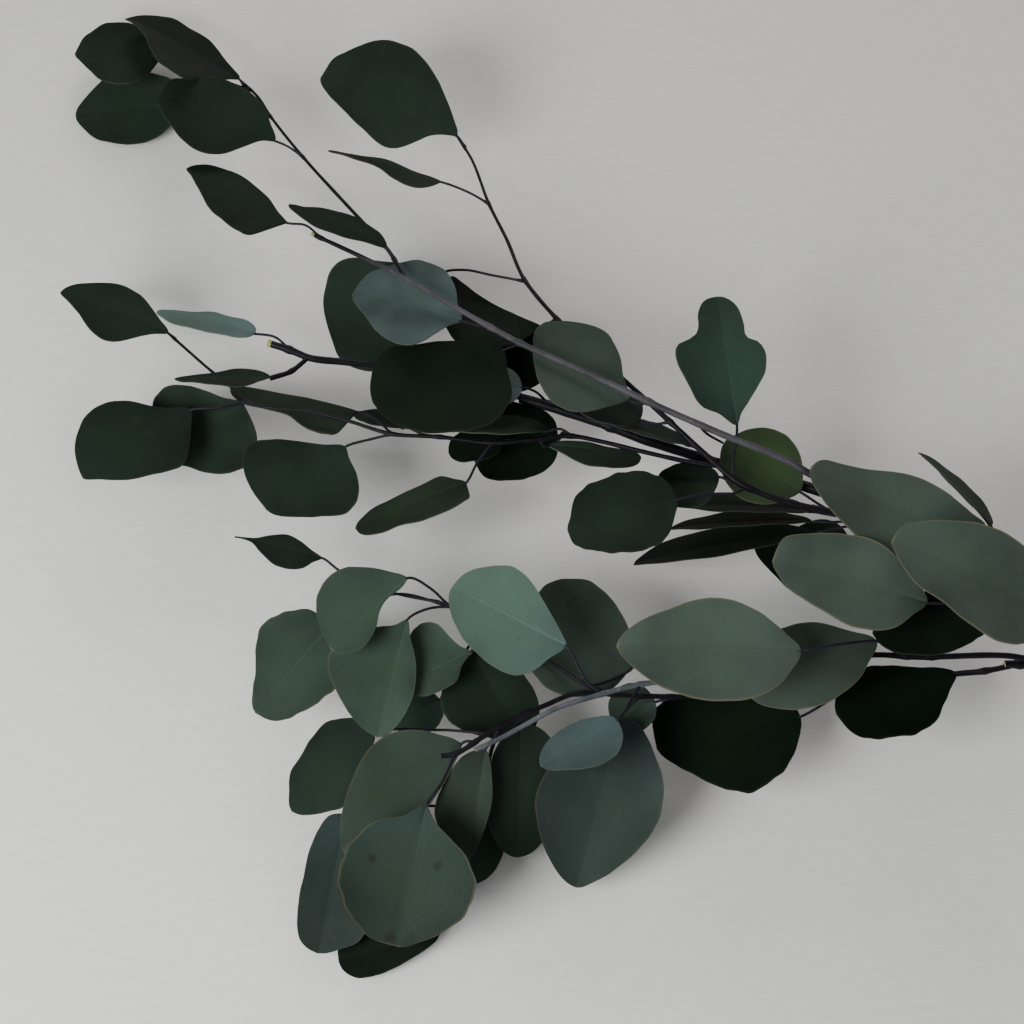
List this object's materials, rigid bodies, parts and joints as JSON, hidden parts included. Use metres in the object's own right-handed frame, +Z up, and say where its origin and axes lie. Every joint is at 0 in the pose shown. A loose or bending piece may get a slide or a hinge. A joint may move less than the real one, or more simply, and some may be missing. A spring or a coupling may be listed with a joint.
{
  "type": "eucalyptus branch",
  "caption": "Cut eucalyptus branch lying down: a forked woody stem that fans into leafy stems with broad rounded waxy leaves on thin stalks.",
  "frame": {"origin": "on the surface that the branch lies on, under the middle of its bounding box", "axes": "+X along the branch to the cut end of the stem, +Z up from the surface, +Y to the side of the long upper stems"},
  "size_m": [0.7262, 0.6088, 0.1066],
  "materials": {
    "bark": "satin",
    "leaf_dark": "satin",
    "leaf_green": "satin",
    "leaf_olive": "satin",
    "leaf_pale": "satin"
  },
  "bodies": {
    "root": {"main_stem": "bark", "stem_a": "leaf_dark", "stem_b": "leaf_dark", "stem_c": "leaf_pale", "stem_e": "leaf_dark", "stem_m": "leaf_dark", "stem_r": "leaf_olive", "stem_l": "leaf_olive", "stem_k": "leaf_dark", "stem_f": "leaf_green"}
  },
  "joints": []
}
